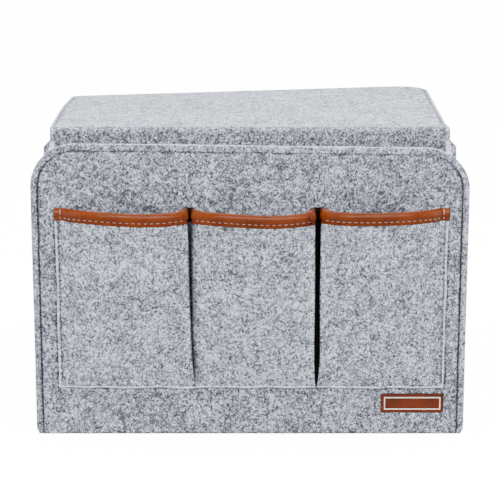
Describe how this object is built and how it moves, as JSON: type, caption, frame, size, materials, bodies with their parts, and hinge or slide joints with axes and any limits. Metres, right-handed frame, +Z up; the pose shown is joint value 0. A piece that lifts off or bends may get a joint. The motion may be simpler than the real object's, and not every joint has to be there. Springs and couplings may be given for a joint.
{
  "type": "bedside caddy",
  "caption": "Felt bedside caddy: box pouch with pleated leather-bound front pockets, inner pockets and a flap that tucks under a mattress.",
  "frame": {"origin": "middle of the pouch's flat underside, which it stands on", "axes": "+X to the right as seen from the front, +Y from the front panel to the back panel and flap, +Z up"},
  "size_m": [0.34, 0.3344, 0.236],
  "materials": {
    "felt": "matte",
    "flap_felt": "matte",
    "binding_leather": "satin",
    "label_leather": "satin",
    "white_thread": "matte",
    "grey_thread": "matte",
    "print": "matte"
  },
  "bodies": {
    "pouch": {"front_panel": "felt", "bottom_panel": "felt", "back_panel": "felt", "left_gusset": "felt", "right_gusset": "felt", "left_pocket": "felt", "middle_pocket": "felt", "right_pocket": "felt", "left_binding": "binding_leather", "left_binding_stitch": "white_thread", "middle_binding": "binding_leather", "middle_binding_stitch": "white_thread", "right_binding": "binding_leather", "right_binding_stitch": "white_thread", "inner_wide_pocket": "felt", "inner_narrow_pocket": "felt", "label": "label_leather", "label_frame": "print", "front_seam": "grey_thread", "left_back_seam": "grey_thread", "right_back_seam": "grey_thread", "pocket_hem_seam": "grey_thread", "left_pocket_seam": "grey_thread", "right_pocket_seam": "grey_thread", "left_pleat_seam": "grey_thread", "right_pleat_seam": "grey_thread", "left_cross_stitch": "white_thread", "right_cross_stitch": "white_thread", "inner_hem_seam": "grey_thread", "inner_divider_seam": "grey_thread"},
    "flap": {"flap": "flap_felt", "flap_hem_seam": "grey_thread"}
  },
  "joints": [
    {"name": "flap_fold", "type": "hinge", "parent": "pouch", "child": "flap", "pos_m": [0, 0.0523, 0.229], "axis": [1, 0, 0], "range_deg": [-85, 90]}
  ]
}
